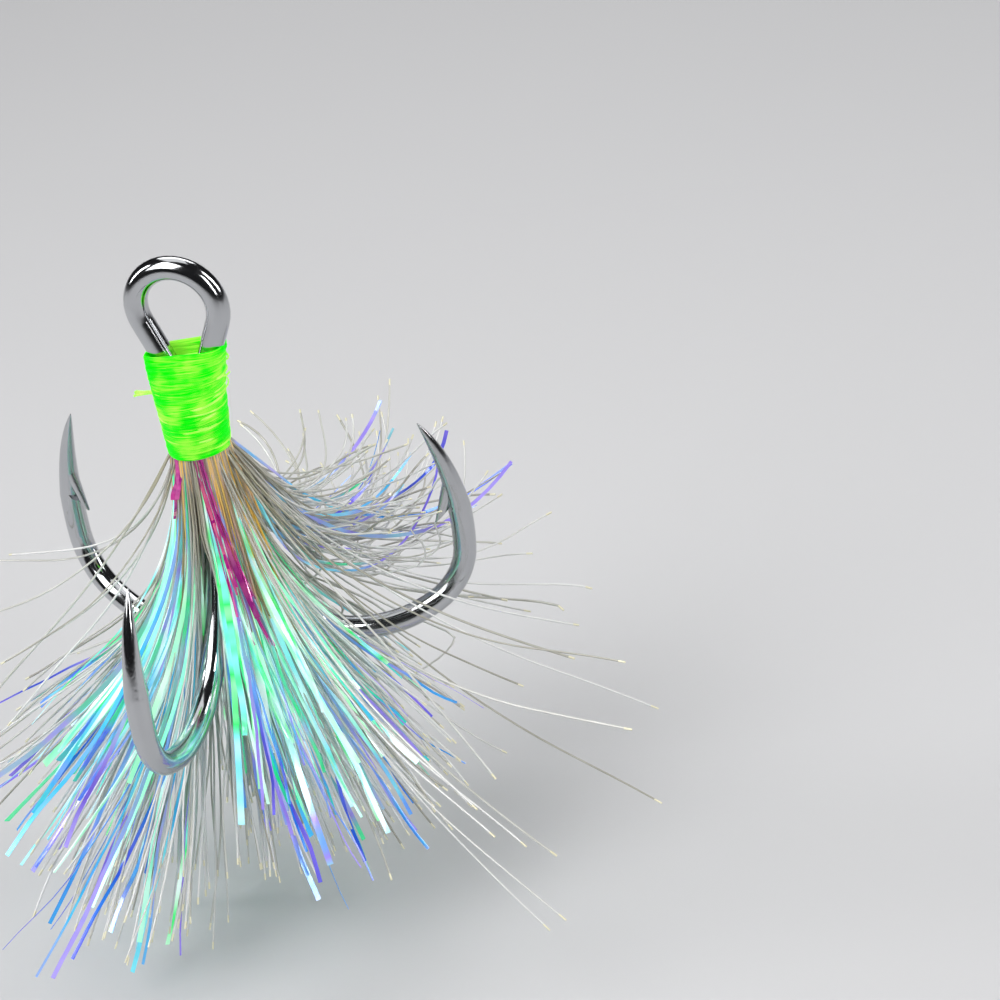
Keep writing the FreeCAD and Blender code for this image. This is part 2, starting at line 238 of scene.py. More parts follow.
def strand_tree():
    """Fibres that leave the foot of the wrap and arc out and down, clear of the hooks beside their gap."""
    s = Shape("fibre strands")
    count = s.given("Strands", "NodeSocketInt")
    steps = s.given("Points per strand", "NodeSocketInt")
    seed = s.given("Seed")
    axis = s.given("Shank axis", "NodeSocketVector")
    gap = s.given("Gap direction")
    root_depth = s.given("Root depth")
    root_in, root_out = s.given("Root distance, least"), s.given("Root distance, most")
    root_fan, root_turn = s.given("Root fan"), s.given("Root turn")
    bend_from, bend_to = s.given("Bend from"), s.given("Bend to")
    heading, heading_spread = s.given("Heading"), s.given("Heading spread")
    lean, lean_spread = s.given("Root lean"), s.given("Root lean spread")
    flare, flare_spread = s.given("Tip lean"), s.given("Tip lean spread")
    length, length_spread = s.given("Length"), s.given("Length spread")
    curl, curl_spread = s.given("Sideways curl"), s.given("Sideways curl spread")
    stray, stray_scale = s.given("Unevenness"), s.given("Unevenness scale")
    clear = s.given("Clearance from hook plane")
    clear_from, clear_to = s.given("Clearance starts at depth"), s.given("Clearance full at depth")
    flat = s.given("Flat", "NodeSocketBool")
    width, thickness = s.given("Width"), s.given("Thickness")
    width_spread = s.given("Width spread")
    twist = s.given("Twist")
    material = s.given("Material", "NodeSocketMaterial")

    curves, strand, t = lines_of_points(s, count, steps)
    head = s.around(heading, heading_spread, strand, seed, 1)
    root_angle = s.add(s.mul(head, root_fan), root_turn)
    root = s.random(root_in, root_out, strand, seed, 2)
    lean0 = s.around(lean, lean_spread, strand, seed, 3)
    lean1 = s.around(flare, flare_spread, strand, seed, 4)
    reach = s.around(length, length_spread, strand, seed, 5)
    bend = s.add(s.sub(lean1, lean0), LEAST_BEND)

    # Straight from the root, then one arc, then straight on to the tip.
    before = s.mul(s.math("MINIMUM", t, bend_from), reach)
    after = s.mul(s.math("MAXIMUM", s.sub(t, bend_to), 0.0), reach)
    within = s.sub(s.between(t, bend_from, bend_to), bend_from)
    share = s.sub(bend_to, bend_from)
    now = s.add(lean0, s.mul(bend, s.div(within, share)))
    radius = s.div(s.mul(reach, share), bend)
    out = s.mul(radius, s.sub(s.cos(lean0), s.cos(now)))
    out = s.add(out, s.add(s.mul(before, s.sin(lean0)), s.mul(after, s.sin(lean1))))
    down = s.mul(radius, s.sub(s.sin(now), s.sin(lean0)))
    down = s.add(down, s.add(s.mul(before, s.cos(lean0)), s.mul(after, s.cos(lean1))))
    sweep = s.mul(s.around(curl, curl_spread, strand, seed, 6), s.mul(t, t))
    course = s.add(head, sweep)
    depth = s.add(root_depth, down)
    u = s.add(s.mul(root, s.cos(root_angle)), s.mul(out, s.cos(course)))
    v = s.add(s.mul(root, s.sin(root_angle)), s.mul(out, s.sin(course)))

    # Stay inside the wedge between the two hook planes, one on each side of the gap's middle.
    room = s.sub(s.mul(u, math.tan(HOOK_PLANE_FROM_GAP)), s.mul(clear, 1 / math.cos(HOOK_PLANE_FROM_GAP)))
    room = s.math("MAXIMUM", room, 0.0)
    held = s.mul(s.math("MINIMUM", s.math("ABSOLUTE", v), room), s.math("SIGN", v))
    rise = s.between(s.div(s.sub(depth, clear_from), s.sub(clear_to, clear_from)))
    v = s.add(v, s.mul(s.sub(held, v), rise))

    wander = s.node("ShaderNodeTexNoise", noise_dimensions="4D")
    s.feed(wander.inputs["Vector"], s.xyz(s.mul(t, stray_scale), 0.0, 0.0))
    s.feed(wander.inputs["W"], s.mul(s.add(strand, seed), WANDER_STEP))
    wander.inputs["Scale"].default_value = 1.0
    wander.inputs["Detail"].default_value = 1.0
    shift = s.vector("SUBTRACT", wander.outputs["Color"], (0.5, 0.5, 0.5))
    shift = s.vector("SCALE", shift, scale=s.mul(stray, t))

    cos_gap, sin_gap = s.cos(gap), s.sin(gap)
    x = s.sub(s.mul(u, cos_gap), s.mul(v, sin_gap))
    y = s.add(s.mul(u, sin_gap), s.mul(v, cos_gap))
    spot = s.vector("ADD", s.xyz(x, y, s.mul(depth, -1.0)), axis)
    bent = placed(s, curves, s.vector("ADD", spot, shift))
    bent = s.keep(bent, "along", t)
    bent = s.keep(bent, "strand", s.random(0.0, 1.0, strand, seed, 7))

    tilted = s.node("GeometryNodeSetCurveTilt")
    s.feed(tilted.inputs["Curve"], bent)
    s.feed(tilted.inputs["Tilt"], s.add(s.random(-math.pi, math.pi, strand, seed, 8),
                                        s.mul(s.random(s.mul(twist, -1.0), twist, strand, seed, 9), t)))
    sized = s.node("GeometryNodeSetCurveRadius")
    s.feed(sized.inputs["Curve"], tilted.outputs[0])
    s.feed(sized.inputs["Radius"], s.around(1.0, width_spread, strand, seed, 10))

    strip = s.node("GeometryNodeCurvePrimitiveQuadrilateral")
    s.feed(strip.inputs["Width"], width)
    s.feed(strip.inputs["Height"], thickness)
    rod = s.node("GeometryNodeCurvePrimitiveCircle")
    rod.inputs["Resolution"].default_value = HAIR_SIDES
    s.feed(rod.inputs["Radius"], s.div(thickness, 2.0))
    pick = s.node("GeometryNodeSwitch", input_type="GEOMETRY")
    s.feed(pick.inputs["Switch"], flat)
    s.feed(pick.inputs["False"], rod.outputs[0])
    s.feed(pick.inputs["True"], strip.outputs[0])
    solid = s.node("GeometryNodeCurveToMesh")
    s.feed(solid.inputs["Curve"], sized.outputs[0])
    s.feed(solid.inputs["Profile Curve"], pick.outputs[0])
    own_radius = s.node("GeometryNodeInputRadius")
    s.feed(solid.inputs["Scale"], own_radius.outputs[0])
    solid.inputs["Fill Caps"].default_value = True
    smooth = s.node("GeometryNodeSetShadeSmooth")
    s.feed(smooth.inputs["Geometry"], solid.outputs[0])
    s.feed(smooth.inputs["Shade Smooth"], s.sub(1.0, flat))
    return s.finish(smooth.outputs[0], material)


# How a run of floss wanders in a turn: how often its spacing and its puffing change, and how much of
# its thickness it puffs by.
SPACING_CHANGES = 1.3
PUFF_CHANGES = 5.0
PUFF_SHARE = 0.9
# The share of a run's slant that is gone at its foot, and how sharply the rim flares from the waist.
SLANT_LOST = 0.6
FLARE_POWER = 1.25


def thread_tree():
    """One run of flat floss wound down the wrap: an oval flare at the rim, nearly round at the foot."""
    s = Shape("wound floss")
    turns = s.given("Turns")
    steps = s.given("Points", "NodeSocketInt")
    axis = s.given("Shank axis", "NodeSocketVector")
    top, foot = s.given("Top depth"), s.given("Foot depth")
    waist = s.given("Waist depth")
    wide, deep = s.given("Rim half-width"), s.given("Rim half-depth")
    forward, square = s.given("Rim forward"), s.given("Rim squareness")
    waist_radius, foot_radius = s.given("Waist radius"), s.given("Foot radius")
    slant, slant_side = s.given("Slant"), s.given("Slant direction")
    lift = s.given("Lift")
    uneven, seed = s.given("Unevenness"), s.given("Seed")
    width, thickness = s.given("Width"), s.given("Thickness")
    material = s.given("Material", "NodeSocketMaterial")

    curves, _, t = lines_of_points(s, 1, steps)
    angle = s.mul(s.mul(turns, 2 * math.pi), t)

    def noise(scale, salt):
        made = s.node("ShaderNodeTexNoise", noise_dimensions="2D")
        s.feed(made.inputs["Vector"], s.xyz(s.mul(t, scale), s.add(seed, salt), 0.0))
        made.inputs["Scale"].default_value = 1.0
        made.inputs["Detail"].default_value = 2.0
        return s.sub(made.outputs["Fac"], 0.5)

    way = s.between(s.add(t, s.mul(uneven, noise(s.mul(turns, SPACING_CHANGES), 3.1))))
    depth = s.add(top, s.mul(s.sub(foot, top), way))
    tilt = s.mul(s.mul(slant, s.cos(s.sub(angle, slant_side))), s.sub(1.0, s.mul(way, SLANT_LOST)))
    upper = s.between(s.div(s.sub(waist, depth), s.sub(waist, top)))
    upper = s.math("POWER", upper, FLARE_POWER)
    lower = s.between(s.div(s.sub(depth, waist), s.sub(foot, waist)))
    base = s.add(waist_radius, s.mul(s.sub(foot_radius, waist_radius), lower))
    half_x = s.add(base, s.mul(s.sub(wide, waist_radius), upper))
    half_y = s.add(base, s.mul(s.sub(deep, waist_radius), upper))
    puff = s.add(lift, s.mul(noise(s.mul(turns, PUFF_CHANGES), 9.7), s.mul(thickness, PUFF_SHARE)))
    # Near the rim the turns lie flat against the eye's two legs, so they run round a squarish oval.
    power = s.add(2.0, s.mul(square, upper))
    corner = s.add(s.math("POWER", s.math("ABSOLUTE", s.cos(angle)), power),
                   s.math("POWER", s.math("ABSOLUTE", s.sin(angle)), power))
    corner = s.math("POWER", corner, s.div(-1.0, power))
    x = s.mul(s.mul(s.add(half_x, puff), s.cos(angle)), corner)
    y = s.add(s.mul(s.mul(s.add(half_y, puff), s.sin(angle)), corner), s.mul(forward, upper))
    spot = s.vector("ADD", s.xyz(x, y, s.add(s.mul(depth, -1.0), tilt)), axis)
    wound = placed(s, curves, spot)
    wound = s.keep(wound, "along", t)

    upright = s.node("GeometryNodeSetCurveNormal")
    upright.mode = "Z_UP"
    s.feed(upright.inputs["Curve"], wound)
    band = s.node("GeometryNodeCurvePrimitiveCircle")
    band.inputs["Resolution"].default_value = FLOSS_SIDES
    band.inputs["Radius"].default_value = 1.0
    around = s.node("GeometryNodeSplineParameter")
    ring = s.keep(band.outputs[0], "across", around.outputs["Factor"])
    shaped = s.node("GeometryNodeTransform")
    s.feed(shaped.inputs["Geometry"], ring)
    s.feed(shaped.inputs["Scale"], s.xyz(s.div(thickness, 2.0), s.div(width, 2.0), 1.0))
    solid = s.node("GeometryNodeCurveToMesh")
    s.feed(solid.inputs["Curve"], upright.outputs[0])
    s.feed(solid.inputs["Profile Curve"], shaped.outputs[0])
    solid.inputs["Fill Caps"].default_value = True
    smooth = s.node("GeometryNodeSetShadeSmooth")
    s.feed(smooth.inputs["Geometry"], solid.outputs[0])
    return s.finish(smooth.outputs[0], material)


def grown(name, tree, **values):
    """Run a geometry tree with these inputs and keep the result as one plain mesh."""
    holder = bpy.data.objects.new(name + "_source", bpy.data.meshes.new(name))
    bpy.context.scene.collection.objects.link(holder)
    modifier = holder.modifiers.new("shape", "NODES")
    modifier.node_group = tree
    wanted = {key.replace("_", " "): value for key, value in values.items()}
    for item in tree.interface.items_tree:
        if item.in_out == "INPUT":
            key = item.name.replace(",", "").replace("-", " ")
            if key not in wanted:
                raise RuntimeError("%s has no value for %s" % (name, item.name))
            modifier[item.identifier] = wanted.pop(key)
    if wanted:
        raise RuntimeError("%s has values that the tree does not take: %s" % (name, sorted(wanted)))
    evaluated = holder.evaluated_get(bpy.context.evaluated_depsgraph_get())
    mesh = bpy.data.meshes.new_from_object(evaluated)
    bpy.data.objects.remove(holder)
    mesh.name = name
    piece = bpy.data.objects.new(name, mesh)
    bpy.context.scene.collection.objects.link(piece)
    return piece


# ---------------------------------------------------------------------------
# Materials
# ---------------------------------------------------------------------------

class Paint(Tree):
    """A surface finish laid out in nodes on one Principled shader."""

    def __init__(self, name):
        self.material = bpy.data.materials.new(name)
        self.material.use_nodes = True
        super().__init__(self.material.node_tree)
        self.tree.nodes.clear()
        self.shader = self.node("ShaderNodeBsdfPrincipled")
        exit_node = self.node("ShaderNodeOutputMaterial")
        self.feed(exit_node.inputs["Surface"], self.shader.outputs[0])

    def set(self, **values):
        for name, value in values.items():
            self.feed(self.shader.inputs[name.replace("_", " ")], value)
        return self

    def attribute(self, name):
        return self.node("ShaderNodeAttribute", attribute_name=name).outputs["Fac"]

    def noise(self, vector, scale=1.0, detail=2.0, distortion=0.0):
        made = self.node("ShaderNodeTexNoise")
        self.feed(made.inputs["Vector"], vector)
        made.inputs["Scale"].default_value = scale
        made.inputs["Detail"].default_value = detail
        made.inputs["Distortion"].default_value = distortion
        return made.outputs["Fac"]

    def ramp(self, factor, *stops):
        """Colours by place, blended from stop to stop."""
        made = self.node("ShaderNodeValToRGB")
        elements = made.color_ramp.elements
        while len(elements) < len(stops):
            elements.new(0.5)
        for element, (place, colour) in zip(elements, stops):
            element.position = place
            element.color = (*colour, 1.0)
        self.feed(made.inputs["Fac"], factor)
        return made.outputs["Color"]

    def level(self, factor, low, high):
        """Stretch a 0 to 1 number to run from low to high."""
        made = self.node("ShaderNodeMapRange")
        self.feed(made.inputs["Value"], factor)
        made.inputs["To Min"].default_value = low
        made.inputs["To Max"].default_value = high
        return made.outputs["Result"]

    def mix(self, factor, a, b):
        """Colour a where the factor is 0, and b where it is 1."""
        made = self.node("ShaderNodeMix", data_type="RGBA")
        self.feed(made.inputs["Factor"], factor)
        self.feed(made.inputs["A"], a if isinstance(a, bpy.types.NodeSocket) else (*a, 1.0))
        self.feed(made.inputs["B"], b if isinstance(b, bpy.types.NodeSocket) else (*b, 1.0))
        return made.outputs["Result"]

    def place(self):
        return self.node("ShaderNodeTexCoord").outputs["Object"]

    def lot(self, strand, salt):
        """Another number from 0 to 1 for each strand, drawn from its own by the salt."""
        return self.math("FRACT", self.mul(strand, salt))

    def bump(self, height, strength, distance):
        made = self.node("ShaderNodeBump")
        made.inputs["Strength"].default_value = strength
        made.inputs["Distance"].default_value = distance
        self.feed(made.inputs["Height"], height)
        self.feed(self.shader.inputs["Normal"], made.outputs[0])
        return self


BLACK, WHITE = (0, 0, 0), (1, 1, 1)
TARNISH = (0.30, 0.31, 0.34)
BRAZE_DARK, BRAZE_LIGHT = (0.42, 0.40, 0.35), (0.68, 0.66, 0.58)
FLOOR_GRAIN = (0.6, 0.6, 0.6)


def plated_wire(colour, roughness):
    """Bright plating with fine drawing marks and a little tarnish."""
    p = Paint("plated hook wire")
    fine = p.noise(p.place(), scale=2600.0, detail=3.0)
    cloud = p.noise(p.place(), scale=420.0)
    p.set(Base_Color=p.mix(p.level(cloud, 0.0, 0.35), colour, TARNISH), Metallic=1.0,
          Roughness=p.add(p.level(fine, roughness * 0.7, roughness * 1.3), p.level(cloud, 0.0, 0.05)))
    return p.bump(fine, strength=0.05, distance=0.02 * MM).material


def braze_metal():
    """Dull lumpy braze."""
    p = Paint("braze under plating")
    lumps = p.noise(p.place(), scale=1500.0, detail=3.0)
    p.set(Base_Color=p.ramp(lumps, (0.3, BRAZE_DARK), (0.7, BRAZE_LIGHT)), Metallic=1.0,
          Roughness=p.level(lumps, 0.25, 0.5))
    return p.bump(lumps, strength=0.5, distance=0.03 * MM).material


def floss(name, body, bright, shade):
    """Fluorescent floss: many filaments side by side, with painted highlight streaks where they would catch
    the light and painted shade between them.
    """
    p = Paint(name)
    along, across = p.attribute("along"), p.attribute("across")
    filament = p.noise(p.xyz(p.mul(along, 60.0), p.mul(across, 30.0), 0.0), detail=3.0, distortion=0.3)
    patch = p.noise(p.place(), scale=620.0)
    glint = p.noise(p.xyz(p.mul(along, 130.0), p.mul(across, 16.0), 0.0), detail=3.0)
    # Painted highlight: streaks and patches lightened towards the lit colour.
    lit = p.ramp(p.add(p.mul(glint, 0.55), p.mul(patch, 0.55)), (0.54, BLACK), (0.62, WHITE))
    # Painted shade: the gaps between filaments darkened towards the shade colour.
    between_filament_shade = p.ramp(filament, (0.32, WHITE), (0.46, BLACK))
    colour = p.mix(p.mul(between_filament_shade, 0.75), p.mix(lit, body, bright), shade)
    # The emission glows in this colour, painted highlights and painted shade included.
    p.set(Base_Color=colour, Roughness=p.level(filament, 0.35, 0.6), Emission_Color=colour)
    p.set(Emission_Strength=0.30, Specular_IOR_Level=0.12)
    return p.bump(filament, strength=0.7, distance=0.04 * MM).material


def nylon_hair(name, root_tones, tones, tip_highlight, clear):
    """Translucent round hair: its own tone in each strand, tinted at the root, with a painted highlight at
    the cut end.
    """
    p = Paint(name)
    along, strand = p.attribute("along"), p.attribute("strand")
    streak = p.noise(p.xyz(p.mul(along, 14.0), p.mul(strand, 80.0), 0.0))
    shade = p.add(p.mul(strand, 0.75), p.mul(streak, 0.25))
    away_from_root = p.ramp(along, (0.10, BLACK), (0.45, WHITE))
    tone = p.mix(away_from_root, p.ramp(shade, *root_tones), p.ramp(shade, *tones))
    # Painted highlight: the last bit of each strand, at its cut end.
    end = p.math("GREATER_THAN", along, 0.985)
    p.set(Base_Color=p.mix(end, tone, tip_highlight), Roughness=p.level(streak, 0.12, 0.3),
          Transmission_Weight=clear, IOR=1.53, Specular_IOR_Level=0.6, Coat_Weight=0.4, Coat_Roughness=0.1)
    return p.bump(streak, strength=0.15, distance=0.01 * MM).material


def pearl_film(name, root, stops, tip_stops, turn_at, tip_share, glow):
    """Iridescent film: painted shade at the root, then its own run of colours, which some strips cool at the
    tip, with a painted glow past the root.
    """
    p = Paint(name)
    along, strand = p.attribute("along"), p.attribute("strand")
    shift = p.noise(p.xyz(p.mul(along, 6.0), p.mul(strand, 61.0), 0.0), detail=1.5)
    where = p.math("FRACT", p.add(p.mul(strand, 7.3), p.level(shift, -0.3, 0.6)))
    turns_cool = p.math("LESS_THAN", p.lot(strand, 13.7), tip_share)
    late = p.between(p.mul(p.mul(p.sub(along, turn_at), 3.0), turns_cool))
    colour = p.mix(late, p.ramp(where, *stops), p.ramp(where, *tip_stops))
    # Painted shade: each strip darkened to its root colours over a random first stretch of up to a quarter
    # of its length.
    root_shade_until = p.mul(p.lot(strand, 29.3), 0.26)
    lit = p.between(p.mul(p.sub(along, root_shade_until), 60.0))
    colour = p.mix(lit, p.ramp(p.lot(strand, 5.1), *root), colour)
    p.set(Base_Color=colour, Emission_Color=colour, Roughness=p.level(shift, 0.10, 0.28), Metallic=0.2)
    # Painted glow: past the root the strips emit their own colour, though they are no lamp.
    p.set(Emission_Strength=p.mul(lit, glow), Coat_Weight=0.8, Coat_Roughness=0.08, Specular_IOR_Level=0.7)
    return p.bump(shift, strength=0.1, distance=0.01 * MM).material


def pale_floor(colour):
    p = Paint("studio floor")
    grain = p.noise(p.place(), scale=90.0, detail=4.0)
    p.set(Base_Color=p.mix(p.level(grain, 0.0, 0.08), colour, FLOOR_GRAIN),
          Roughness=p.level(grain, 0.6, 0.75), Specular_IOR_Level=0.25)
    return p.material


# ---------------------------------------------------------------------------
# How the fibres lie
# ---------------------------------------------------------------------------

# Angles in degrees, lengths in millimetres; share scales the number of fibres. Most pairs are a middle
# value and its spread: heading turns round the shanks from the gap's middle, and lean and flare, at
# the root and at the tip, are measured from straight down. The others are root, the least and the
# most distance from the shanks' axis; bend, the stretch of the fibre that curves; and uneven, how
# far the fibre wanders and how often. The roots' own headings are scaled by root_fan and turned by
# root_turn.
STRAIGHT_LAY = {
    "root": (1.22, 1.40), "root_fan": 1.0, "root_turn": 0, "lean": (4, 3), "curl": (0, 8),
    "uneven": (0.6, 2.0), "twist": 60, "bend": (0.08, 0.7), "share": 1.0,
}

GREY_LAY = {"root": (1.24, 1.47), "lean": (4, 4), "curl": (0, 14), "uneven": (1.4, 2.2)}

FIBRE_LAY = {
    "amber_fibres": {"root": (1.44, 1.50), "root_fan": 1.25, "heading": (0, 46), "flare": (13, 9),
                     "length": (10, 4), "bend": (0.2, 1.0)},
    "magenta_strips": {"root": (1.40, 1.46), "root_fan": 1.2, "heading": (6, 34), "flare": (18, 8),
                       "length": (13, 5)},
    "pearl_tinsel": {"root": (1.36, 1.46), "root_fan": 1.2, "heading": (0, 42), "flare": (26, 13),
                     "uneven": (1.0, 2.5)},
    "blue_flash": {"root": (1.32, 1.42), "heading": (0, 44), "lean": (4, 4), "uneven": (1.8, 3.0)},
    "grey_hair_left": {**GREY_LAY, "heading": (-31, 28)},
    "grey_hair_right": {**GREY_LAY, "heading": (31, 28)},
}

# What differs from gap to gap.
GAP_LAY = {
    "front_left": {"grey_hair_left": {"flare": (42, 18), "length": (25, 4), "share": 0.85},
                   "grey_hair_right": {"flare": (32, 17), "length": (25, 3)},
                   "amber_fibres": {"share": 0.8},
                   "magenta_strips": {"root": (1.50, 1.53), "heading": (24, 4), "lean": (5, 1),
                                      "length": (3.2, 0.6), "share": 0.5, "twist": 0},
                   "pearl_tinsel": {"flare": (34, 18), "length": (23, 5)},
                   "blue_flash": {"flare": (44, 18), "length": (26, 4)}},
    "front_right": {"grey_hair_left": {"flare": (20, 12), "length": (21, 3)},
                    "grey_hair_right": {"flare": (32, 14), "length": (21, 4)},
                    "amber_fibres": {"heading": (12, 38), "lean": (6, 3), "share": 1.3},
                    "magenta_strips": {"root_fan": 1.6, "root_turn": -36, "heading": (-6, 6), "lean": (9, 3),
                                       "flare": (27, 5), "length": (9, 2.2), "bend": (0.1, 0.9),
                                       "share": 1.4},
                    "pearl_tinsel": {"flare": (29, 13), "length": (19, 4)},
                    "blue_flash": {"flare": (33, 14), "length": (22, 4)}},
    "back": {"grey_hair_left": {"flare": (30, 16), "length": (21, 4)},
             "grey_hair_right": {"flare": (26, 14), "length": (21, 4)},
             "pearl_tinsel": {"length": (21, 4)},
             "blue_flash": {"root": (1.2, 1.35), "heading": (-32, 22), "lean": (24, 12), "flare": (108, 56),
                            "length": (17, 5), "uneven": (4.0, 1.6), "bend": (0.3, 1.0), "share": 0.45}},
}

STRAY_LAY = {
    "stray_hairs_front_left": ("front_left", {"heading": (-8, 40), "lean": (24, 12), "flare": (66, 20),
                                              "length": (20, 5), "uneven": (1.6, 1.4), "share": 0.6}),
    "stray_hairs_front_right": ("front_right", {"root": (1.15, 1.3), "heading": (22, 30), "lean": (24, 8),
                                                "flare": (74, 24), "length": (26, 6), "uneven": (2.0, 1.2),
                                                "bend": (0.05, 0.8), "share": 1.2}),
    "swept_hair_back": ("back", {"root": (1.15, 1.35), "heading": (-34, 22), "lean": (25, 8),
                                 "flare": (108, 38), "length": (18, 7), "curl": (0, 46),
                                 "uneven": (5.0, 1.3), "bend": (0.30, 0.9), "share": 1.2}),
}

# The thread's cut end: a few filaments that stand nearly level out of the wrap's left side.
TAG_LAY = {**STRAIGHT_LAY, "root": (1.5, 1.6), "heading": (0, 2), "lean": (98, 4), "flare": (92, 7),
           "length": (1.25, 0.1), "curl": (0, 4), "uneven": (0.16, 2.0)}
TAG_DIRECTION = 190.0
TAG_FILAMENTS = 9

# The fibres' roots under the wrap, and the depths at which they begin to keep clear of the hooks
# beside their gap and have the whole clearance.
ROOT_DEPTH = WRAP_FOOT - 0.3 * MM
CLEARS_FROM, CLEARS_BY = WRAP_FOOT + 4.5 * MM, WRAP_FOOT + 8.5 * MM
HOOK_CLEARANCE = 0.74 * MM

# Every tuft draws its random numbers from a seed of its own: the kind's first seed, and then one more
# for each gap, side or stray tuft.
HAIR_SEED, STRAY_SEED, AMBER_SEED, TINSEL_SEED, TAG_SEED = 114, 200, 300, 400, 3
HAIR_SEED_STEP, TINSEL_SEED_STEP = 10, 20


def lay_of(kind, gap):
    return {**STRAIGHT_LAY, **FIBRE_LAY[kind], **GAP_LAY[gap].get(kind, {})}


# ---------------------------------------------------------------------------
# Settings
# ---------------------------------------------------------------------------

def length_setting(name, default, description):
    return bpy.props.FloatProperty(name=name, description=description, default=default,
                                   min=0.0, subtype="DISTANCE", unit="LENGTH", precision=5)


def colour_setting(name, default, description):
    return bpy.props.FloatVectorProperty(name=name, description=description, default=default,
                                         size=3, min=0.0, max=1.0, subtype="COLOR")


def count_setting(name, default, description):
    return bpy.props.IntProperty(name=name, description=description, default=default, min=1)


def number_setting(name, default, description):
    return bpy.props.FloatProperty(name=name, description=description, default=default)


def angle_setting(name, default, description):
    return bpy.props.FloatProperty(name=name, description=description, default=math.radians(default),
                                   subtype="ANGLE", unit="ROTATION")


class WireSettings(bpy.types.PropertyGroup):
    """Finish of the plated hook wires."""
    colour: colour_setting("Plating", (0.55, 0.56, 0.575), "Colour of the bright plating")
    roughness: bpy.props.FloatProperty(name="Roughness", description="How dull the plating is",
                                       default=0.09, min=0.0, max=1.0)


class WrapSettings(bpy.types.PropertyGroup):
    """The thread wrap's floss."""
    turns: count_setting("Turns", 21, "Turns of floss in the main run")
    floss_width: length_setting("Floss width", 0.36 * MM, "Width of the flattened floss")
    floss_thickness: length_setting("Floss thickness", 0.13 * MM, "Thickness of the flattened floss")
    body: colour_setting("Floss", (0.0, 0.92, 0.0), "Colour of the fluorescent floss")
    # The lit and shaded filament colours are painted highlight and painted shade on the floss.
    bright: colour_setting("Lit filaments", (0.36, 1.0, 0.06), "Colour of filaments that stand up")
    shade: colour_setting("Shaded filaments", (0.0, 0.55, 0.0), "Colour between the filaments")


class SkirtSettings(bpy.types.PropertyGroup):
    """The fibres of the skirt."""
    hair_count: count_setting("Hairs", 92, "Nylon hairs in each half gap")
    swept_count: count_setting("Swept hairs", 95, "Nylon hairs that sweep out behind")
    stray_count: count_setting("Stray hairs", 12, "Hairs that stand out at each front gap")
    amber_count: count_setting("Amber fibres", 64, "Short amber fibres in each gap")
    pearl_count: count_setting("Pearl strips", 54, "Pearl tinsel strips in each gap")
    flash_count: count_setting("Blue strips", 34, "Blue and violet strips in each gap")
    magenta_count: count_setting("Magenta strips", 9, "Magenta strips in each gap")
    hair_thickness: length_setting("Hair thickness", 0.11 * MM, "Diameter of a nylon hair")
    amber_thickness: length_setting("Amber thickness", 0.13 * MM, "Diameter of an amber fibre")
    tinsel_width: length_setting("Tinsel width", 0.27 * MM, "Width of a tinsel strip")
    magenta_width: length_setting("Magenta width", 0.26 * MM, "Width of a magenta strip")
    film_thickness: length_setting("Film thickness", 0.03 * MM, "Thickness of the strips")


class StudioSettings(bpy.types.PropertyGroup):
    """Camera, floor and lights."""
    azimuth: angle_setting("Azimuth", 25.07, "Direction of the camera round the hook")
    elevation: angle_setting("Elevation", 26.12, "Height of the camera above level")
    roll: angle_setting("Roll", 10.79, "Turn of the camera about its own line of sight")
    distance: length_setting("Distance", 204.0 * MM, "From the shank axis at the eye's height to the camera")
    lens: number_setting("Lens", 145.0, "Focal length in millimetres")
    eye_left: number_setting("Eye left of middle", 0.326, "Share of the frame's width")
    eye_above: number_setting("Eye above middle", 0.189, "Share of the frame's width")
    floor: colour_setting("Floor", (0.56, 0.56, 0.57), "Colour of the studio floor")
    floor_gap: length_setting("Floor gap", 0.6 * MM, "Space between the lowest fibre and the floor")


def settings(name):
    return getattr(bpy.context.scene, "treble_" + name)


# ---------------------------------------------------------------------------
# Pieces
# ---------------------------------------------------------------------------

def repaint(node, material):
    """Give a CAD node a new finish."""
    mesh = frame["nodes"][node].data
    if not mesh.materials:
        mesh.materials.append(material)
    for number in range(len(mesh.materials)):
        mesh.materials[number] = material


def tree_named(name, make):
    return bpy.data.node_groups.get(name) or make()


def strands(name, gap, lay, count, material, seed, thickness, width=None, width_spread=0.15, points=22,
            root_depth=ROOT_DEPTH, clear=HOOK_CLEARANCE):
    """One tuft as a plain mesh: flat strips where it has a width, and round hairs where it has none."""
    heading, heading_spread = map(math.radians, lay["heading"])
    lean, lean_spread = map(math.radians, lay["lean"])
    flare, flare_spread = map(math.radians, lay["flare"])
    curl, curl_spread = map(math.radians, lay["curl"])
    return grown(
        name, tree_named("fibre strands", strand_tree),
        Strands=round(count * lay["share"]), Points_per_strand=points, Seed=float(seed),
        Shank_axis=SHANK_AXIS, Gap_direction=math.radians(gap), Root_depth=root_depth,
        Root_distance_least=lay["root"][0] * MM, Root_distance_most=lay["root"][1] * MM,
        Root_fan=lay["root_fan"], Root_turn=math.radians(lay["root_turn"]),
        Bend_from=lay["bend"][0], Bend_to=lay["bend"][1],
        Heading=heading, Heading_spread=heading_spread,
        Root_lean=lean, Root_lean_spread=lean_spread,
        Tip_lean=flare, Tip_lean_spread=flare_spread,
        Length=lay["length"][0] * MM, Length_spread=lay["length"][1] * MM,
        Sideways_curl=curl, Sideways_curl_spread=curl_spread,
        Unevenness=lay["uneven"][0] * MM, Unevenness_scale=lay["uneven"][1],
        Clearance_from_hook_plane=clear,
        Clearance_starts_at_depth=CLEARS_FROM, Clearance_full_at_depth=CLEARS_BY,
        Flat=width is not None, Width=width or thickness, Thickness=thickness, Width_spread=width_spread,
        Twist=math.radians(lay["twist"]), Material=material)


